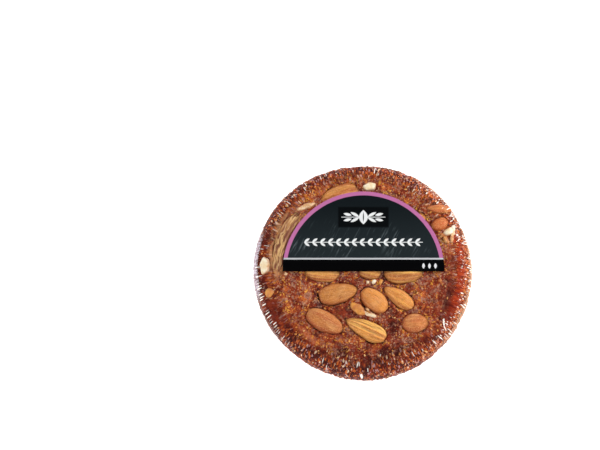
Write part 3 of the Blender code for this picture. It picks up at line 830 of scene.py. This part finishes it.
rows, rings = [], []
for radius, level in wrap_rings():
    steps = steps_round(radius)
    rings.append(range(len(rows), len(rows) + steps))
    for angle in 2 * math.pi * np.arange(steps) / steps:
        rows.append((radius * math.cos(angle), radius * math.sin(angle), level))
faces = [face for upper, lower in zip(rings, rings[1:]) for face in sewn(upper, lower)]
round_rows = np.array(rows)
ways = outward(round_rows)
tight = round_rows.copy()
tight[:, 0] += TOP_SHIFT_X * smooth(tight[:, 2], SIDE_HEIGHT, TOP_HEIGHT)
wrap = built("shrink_wrap", tight, faces)

# The film is drawn in from outside, each vertex until it meets what is beneath or is held by the
# ones round it, so that it bridges the hollows.
walls = [surface(piece) for piece in (paste, *contents, seeds)]
met = [
    min(tree.ray_cast(Vector(spot), Vector(way), 3 * STAND_OFF)[3] or NOTHING_MET for tree in walls)
    for spot, way in zip(tight + ways * STAND_OFF, -ways)
]
contact = np.array(met) - CLEARANCE
ends = np.empty(2 * len(wrap.data.edges), np.int64)
wrap.data.edges.foreach_get("vertices", ends)
ends = np.concatenate((ends.reshape(-1, 2), ends.reshape(-1, 2)[:, ::-1]))
links = np.bincount(ends[:, 0])
sunk = np.minimum(contact, STAND_OFF)
for _ in range(PULLS):
    sunk = np.minimum(contact, np.bincount(ends[:, 0], weights=sunk[ends[:, 1]]) / links)

# Each vertex's way round, and how far it is from the middle along the skin.
radii, levels = np.hypot(round_rows[:, 0], round_rows[:, 1]), round_rows[:, 2]
angles = np.arctan2(round_rows[:, 1], round_rows[:, 0]) % (2 * math.pi)
run = np.where(levels < SIDE_HEIGHT, SIDE_RADIUS + SIDE_HEIGHT - levels, radii)
left_side, right_side = towards(round_rows, 178, 9, 26), towards(round_rows, 8, 35, 70)
low_left = towards(round_rows, 203, 13, 19)


def lines(gap, evenness, width, starts, lengths, sizes):
    """Random lines out over the rim, with starts and lengths in millimetres down the skin."""
    gaps = draw.uniform(evenness, 2 - evenness, int(2 * math.pi * SIDE_RADIUS / gap))
    turns = np.cumsum(gaps) * 2 * math.pi / gaps.sum()
    size = draw.uniform(*sizes, len(gaps))
    first = draw.uniform(*starts, len(gaps)) * MM
    last = first + draw.uniform(*lengths, len(gaps)) * MM
    nearest = np.searchsorted(turns, angles)
    found = np.zeros(len(angles))
    for shift in (-1, 0, 1):
        which = (nearest + shift) % len(gaps)
        off = (angles - turns[which] + math.pi) % (2 * math.pi) - math.pi
        line = np.exp(-((off * radii / width) ** 2)) * size[which]
        line *= smooth(run, first[which] - LINE_END, first[which] + LINE_END)
        line *= 1 - smooth(run, last[which] - LINE_END, last[which] + LINE_END)
        found = np.maximum(found, line)
    return found


pleats = lines(PLEAT_GAP, 0.6, PLEAT_WIDTH, (43, 47), (13, 17), (0.3, 1.0))
skirt_lines = lines(1.4 * MM, 0.7, 0.25 * MM, (45.6, 46.6), (1.6, 2.6), (0.3, 1.2))
low_lines = lines(1.6 * MM, 0.4, GLINT_WIDTH, (42.5, 47.5), (1.0, 3.5), (-0.8, 1.0))
side_lines = lines(1.8 * MM, 0.5, GLINT_WIDTH, (50, 56), (1.5, 7), (-0.4, 0.8))
sparks = [lines(0.9 * MM, 0.3, GLINT_WIDTH, (45.2, 49), (0.3, 1.2), (-0.5, 1.2)) for _ in range(4)]
slits = lines(1.3 * MM, 0.6, GLINT_WIDTH, (46.4, 47.0), (0.6, 1.6), (0.0, 1.0))
# The glints are painted highlights: white marks in the film along its pleats and folds, with more on
# the lit right side.
glints = np.maximum(skirt_lines * low_left, low_lines * (1 - low_left) * (1 - right_side * 0.6))
glints = np.maximum(glints, np.maximum.reduce(sparks) * (0.35 + 0.85 * right_side))
glints = np.maximum(glints, side_lines * 0.8)
glints = np.maximum(glints, patched(round_rows, FOLDS) * (levels > SIDE_HEIGHT))
margin = np.maximum(low_left * 0.45, right_side * 0.38)
milk = left_side * smooth(run, *SKIRT_TOP) * (1 - slits)
milk = np.maximum(milk, margin * smooth(run, *MARGIN_TOP))
milk = np.maximum(milk, smooth(run, *SIDE_TOP) * 0.15) * smooth(levels, *VEIL_FOOT)
held = tight + ways * (STAND_OFF - sunk + pleats * PLEAT_RISE)[:, None]
held[:, 2] = np.maximum(held[:, 2], WRAP_LIFT)
move_to(wrap, held)
mark(wrap, gathered=smooth(radii, *GATHERED), glint=np.clip(glints, 0, 1), veil=milk)
# The lit side, where the film's haze is painted lighter.
mark(wrap, sunny=right_side)
edit(wrap, bpy.ops.mesh.normals_make_consistent, inside=False)

start, place = finish("clear shrink film", [wrap])
gathered, glint, veil, sunny = map(start.read, ("gathered", "glint", "veil", "sunny"))
ripple = place.noise(1.6 * MM, 2)
wrinkles = place.rays(0.8 * MM, 5 * MM)
tilt = start.node("ShaderNodeLayerWeight", inputs={"Blend": 0.5}, output="Facing")
# Where glints are painted, the film is white and opaque.
cover = 0.002 + gathered * 0.012 + tilt**10 * 0.08 + glint.step(0.3, 0.7) * 0.9 + veil * 0.9
grit = place.noise(0.5 * MM, 2)
milky = (wrinkles + grit).step(0.9, 1.1).mix(tone(128, 88, 88), tone(212, 198, 212))
# The haze is painted light: peach on the lit right side, darker brown on the others.
haze = veil.step(0.4, 0.6).mix(sunny.mix(tone(140, 84, 60), tone(236, 190, 138)), milky)
start.feed("Base Color", glint.step(0.2, 0.5).mix(haze, tone(255, 246, 236)))
start.feed("Metallic", 1 - (glint + veil * 2).step(0.0, 0.3))
start.feed("Roughness", 0.1 + veil * 0.4)
start.feed("Normal", ripple.bump(0.06 * MM))
clear = start.node("ShaderNodeBsdfTransparent")
gloss = Socket(start.tree, start.tree.nodes["Principled BSDF"].outputs[0])
film = start.node("ShaderNodeMixShader", inputs={0: cover, 1: clear, 2: gloss})
start.tree.links.new(film.socket, start.tree.nodes["Material Output"].inputs["Surface"])
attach(wrap, "root")


# THE LABEL. A half-round paper sticker, printed semi-gloss: slate with a mauve border round its
# arc, a silver line, and a black band along its straight edge. Its off-white ornament is an almond
# sprig on a darker panel, a garland of leaves and three small leaves. It lies on the tight wrap.

LABEL_RADIUS, LABEL_EDGE_Y = 36.8 * MM, -1.4 * MM
LABEL_PAPER, LABEL_GRID, LABEL_GAP = 0.1 * MM, 1 * MM, 0.03 * MM
SPAN, SPARE = 0.5 * MM, 3 * MM
BLUR, BLUR_STEPS, DRAPINGS = 2 * MM, 12, 40
BORDER = 1.75 * MM
LINE_Y, LINE_WIDTH = 4.4 * MM, 0.77 * MM
INK_SOFT, PANEL_SOFT = 0.09 * MM, 0.4 * MM
PANEL_Y, PANEL_WIDTH, PANEL_HEIGHT = 23.6 * MM, 23 * MM, 9.4 * MM
GARLAND_Y, GARLAND_WIDTH, GARLAND_GAP = 12 * MM, 54 * MM, 3.6 * MM
MARKS_X, MARKS_Y, MARKS_GAP, MARKS_WIDTH = 30 * MM, 1.1 * MM, 2.7 * MM, 8 * MM

low = Vector((-LABEL_RADIUS - SPARE, LABEL_EDGE_Y - SPARE))
columns = int(2 * -low.x / SPAN) + 1
lines_up = int((LABEL_RADIUS + 2 * SPARE) / SPAN) + 1
skin = surface(wrap)


def wrap_height(x, y):
    """The wrap's height, past its flat top taken as at the top's edge."""
    inward = min(1, (FLAT_RADIUS + TOP_SHIFT_X) / math.hypot(x, y, MM))
    return skin.ray_cast(Vector((x * inward, y * inward, 2 * TOP_HEIGHT)), (0, 0, -1))[0].z


kernel = np.exp(-0.5 * (np.arange(-BLUR_STEPS, BLUR_STEPS + 1) * SPAN / BLUR) ** 2)
kernel /= kernel.sum()


def blurred(rows):
    """The same heights, each one blended with those round it."""
    for _ in range(2):
        padded = np.pad(rows, ((0, 0), (BLUR_STEPS, BLUR_STEPS)), mode="edge")
        rows = np.array([np.convolve(row, kernel, mode="valid") for row in padded]).T
    return rows


# Like stiff paper, the sheet rests on the film's high places and bridges its hollows.
across = [low.x + i * SPAN for i in range(columns)]
film = np.array([[wrap_height(x, low.y + j * SPAN) for x in across] for j in range(lines_up)])
sheet = film
for _ in range(DRAPINGS):
    sheet = np.maximum(film, blurred(sheet))
sheet = blurred(sheet)
sheet += max(0, (film - sheet).max())


def laid(rows, above):
    """Points laid on the label's sheet, that high above its underside."""
    u = np.clip((rows[:, 0] - low.x) / SPAN, 0, columns - 1.001)
    v = np.clip((rows[:, 1] - low.y) / SPAN, 0, lines_up - 1.001)
    i, j = u.astype(int), v.astype(int)
    s, t = u - i, v - j
    near = sheet[j, i] * (1 - s) + sheet[j, i + 1] * s
    far = sheet[j + 1, i] * (1 - s) + sheet[j + 1, i + 1] * s
    return np.column_stack((rows[:, :2], near * (1 - t) + far * t + above + rows[:, 2]))


bpy.ops.object.select_all(action="DESELECT")
bpy.ops.mesh.primitive_circle_add(
    vertices=360, radius=LABEL_RADIUS, fill_type="NGON", location=(0, LABEL_EDGE_Y, 0)
)
label = bpy.context.object
label.name = "printed_label"
bpy.ops.object.transform_apply()
cuts = [((0, LABEL_EDGE_Y, 0), (0, 1, 0), True)]
cuts += [((x, 0, 0), (1, 0, 0), False) for x in np.arange(-36, 36.5, LABEL_GRID / MM) * MM]
cuts += [((0, y, 0), (0, 1, 0), False) for y in np.arange(0, 35, LABEL_GRID / MM) * MM]
for spot, way, clear_below in cuts:
    edit(label, bpy.ops.mesh.bisect, plane_co=spot, plane_no=way, clear_inner=clear_below)
modify(label, "SOLIDIFY", thickness=LABEL_PAPER, offset=1.0)
move_to(label, laid(read(label, "co"), LABEL_GAP))
bpy.ops.object.shade_smooth_by_angle(angle=math.radians(30))

start, place = finish("printed label", [label], Specular_IOR_Level=0.02)
x, y = place.part("X"), place.part("Y")


def over(value, edge):
    """1 where the value is past the edge, and 0 short of it."""
    return value.step(edge - INK_SOFT, edge + INK_SOFT)


def leaf(x, y, heading, length, width):
    """1 in a pointed leaf about the origin of x and y, which points at the heading."""
    ahead = (math.cos(math.radians(heading)), math.sin(math.radians(heading)))
    along = (x * ahead[0] + y * ahead[1]) * (2 / length)
    aside = abs(y * ahead[0] - x * ahead[1])
    return over((1 - along * along) * (width / 2) - aside, 0)


def repeated(value, gap):
    """The distance from the nearest of evenly spaced places."""
    return ((value * (1 / gap) + 0.5).math("FRACT") - 0.5) * gap


outward_by = place.stretched(1, 1, 0).vector("DISTANCE", (0, LABEL_EDGE_Y, 0), output="Value")
border = over(outward_by, LABEL_RADIUS - BORDER)
above_line, above_band = over(y, LINE_Y + LINE_WIDTH / 2), over(y, LINE_Y - LINE_WIDTH / 2)
brushed = {"Vector": place, "Rotation": (0, 0, math.radians(62)), "Scale": (9, 1, 1)}
strokes = start.node("ShaderNodeMapping", {"vector_type": "TEXTURE"}, brushed).noise(0.9 * MM, 3, 0.6)
slate = y.step(6 * MM, 34 * MM).mix(tone(33, 40, 43), tone(17, 23, 26))
brushing = strokes.step(0.5, 0.72) * place.noise(13 * MM, 2).step(0.4, 0.6)
slate = (brushing * y.step(26 * MM, 8 * MM) * 0.6).mix(slate, tone(104, 114, 118))
panel_y = y - PANEL_Y
inside = (abs(x) - (PANEL_WIDTH - PANEL_HEIGHT) / 2).math("MAXIMUM", abs(panel_y))
panel = inside.step(PANEL_HEIGHT / 2 + PANEL_SOFT, PANEL_HEIGHT / 2 - PANEL_SOFT)
slate = panel.mix(slate, tone(7, 10, 12))

garland_x, garland_y = repeated(x, GARLAND_GAP), y - GARLAND_Y
ink = over(0.16 * MM - abs(garland_y), 0)
for side in (-1, 1):
    ink = ink + leaf(garland_x + 0.5 * MM, garland_y + side * 0.95 * MM, -35 * side, 2.9 * MM, 1.1 * MM)
ink = ink * over(GARLAND_WIDTH / 2 - abs(x), 0)
sprig = leaf(x, panel_y, 90, 6.6 * MM, 4 * MM) - leaf(x, panel_y, 90, 4.6 * MM, 0.5 * MM)
for side in (-1, 1):
    for out, heading, length in ((3.9, 28, 4.4), (7.2, 12, 3.8)):
        for up in (-1, 1):
            leaf_x, leaf_y = x - side * out * MM, panel_y - up * 1.25 * MM
            sprig = sprig + leaf(leaf_x, leaf_y, side * up * heading, length * MM, 1.3 * MM)
sprig = sprig + over(0.14 * MM - abs(panel_y), 0) * over(abs(x), 1.9 * MM) * over(10 * MM - abs(x), 0)
ink = ink + sprig * panel
field = ink.math("MINIMUM", 1.0).mix(slate, tone(226, 228, 228))
field = border.mix(field, tone(184, 108, 156))
field = above_line.mix(tone(222, 224, 228), field)
marks = leaf(repeated(x - MARKS_X, MARKS_GAP), y - MARKS_Y, 90, 2.6 * MM, 1.3 * MM)
marks = marks * over(MARKS_WIDTH / 2 - abs(x - MARKS_X), 0)
colour = above_band.mix(marks.mix(tone(1, 1, 3), tone(214, 214, 216)), field)
silver = above_band * (1 - above_line)
start.feed("Base Color", colour)
start.feed("Metallic", silver * 0.6)
start.feed("Roughness", 0.42 - silver * 0.1 + strokes * 0.06)
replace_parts(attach(label, "root"), "label")


# THE STUDIO. A white sweep, a large soft lamp high at the upper right with a weaker one across
# from it, narrow ones low round the bread for the pleats, and a camera that looks down on it from
# the label's straight side.

LAMP_SIZE = (1.2, 1.2)
STRIPS = ((10, 2.2), (50, 1.6), (95, 0.9), (135, 0.8), (178, 1.2), (212, 1.5), (262, 1.1), (305, 1.6))
STRIP_REACH, STRIP_LEVEL, STRIP_SIZE = 0.8, 0.22, (0.05, 0.3)
ELEVATION, DISTANCE, SENSOR = math.radians(80), 2.5, 36
PIXEL = 1 * MM / 2.19
IMAGE_WIDTH, IMAGE_HEIGHT = 600, 450
BREAD_PIXEL = (363.2, 272.6)

bpy.ops.object.select_all(action="DESELECT")
bpy.ops.mesh.primitive_plane_add(size=6)
floor = bpy.context.object
floor.name = "floor"
glow = dict(Emission_Color=(1, 1, 1, 1), Emission_Strength=0.8)
finish("white sweep", [floor], Base_Color=tone(246, 246, 246), Roughness=0.9, **glow)


def softbox(name, place, aim, size, watts):
    """A rectangular lamp at a place, turned to aim at a point."""
    lamp = added(name, bpy.data.lights.new(name, "AREA"))
    lamp.data.shape = "RECTANGLE"
    lamp.data.size, lamp.data.size_y = size
    lamp.data.energy = watts
    lamp.location = place
    lamp.rotation_euler = (Vector(aim) - Vector(place)).to_track_quat("-Z", "Y").to_euler()


softbox("key", (0.9, 0.5, 1.1), (0, 0, 0), LAMP_SIZE, 16.5)
softbox("fill", (-0.8, -0.5, 1.1), (0, 0, 0), LAMP_SIZE, 5)
for turn, watts in STRIPS:
    angle = math.radians(turn)
    spot = (STRIP_REACH * math.cos(angle), STRIP_REACH * math.sin(angle), STRIP_LEVEL)
    softbox(f"strip {turn}", spot, (0, 0, 0.02), STRIP_SIZE, watts)

world = bpy.data.worlds.new("studio")
bpy.context.scene.world = world
world.use_nodes = True
start = Socket(world.node_tree)
up = start.node("ShaderNodeTexCoord", output="Generated").part("Z")
backdrop = up.step(0.0, 0.6).mix((0.3, 0.3, 0.3, 1), (0.12, 0.12, 0.12, 1))
start.tree.links.new(backdrop.socket, world.node_tree.nodes["Background"].inputs["Color"])

view = Vector((0, math.cos(ELEVATION), -math.sin(ELEVATION)))
picture_up = Vector((0, math.sin(ELEVATION), math.cos(ELEVATION)))
aim = Vector((0, 0, SIDE_HEIGHT))
aim -= Vector((1, 0, 0)) * (BREAD_PIXEL[0] - IMAGE_WIDTH / 2) * PIXEL
aim += picture_up * (BREAD_PIXEL[1] - IMAGE_HEIGHT / 2) * PIXEL
camera = added("camera", bpy.data.cameras.new("camera"))
camera.data.sensor_width = SENSOR
camera.data.lens = SENSOR * DISTANCE / (IMAGE_WIDTH * PIXEL)
camera.location = aim - view * DISTANCE
camera.rotation_euler = view.to_track_quat("-Z", "Y").to_euler()
bpy.context.scene.camera = camera
bpy.context.scene.view_settings.view_transform = "Standard"
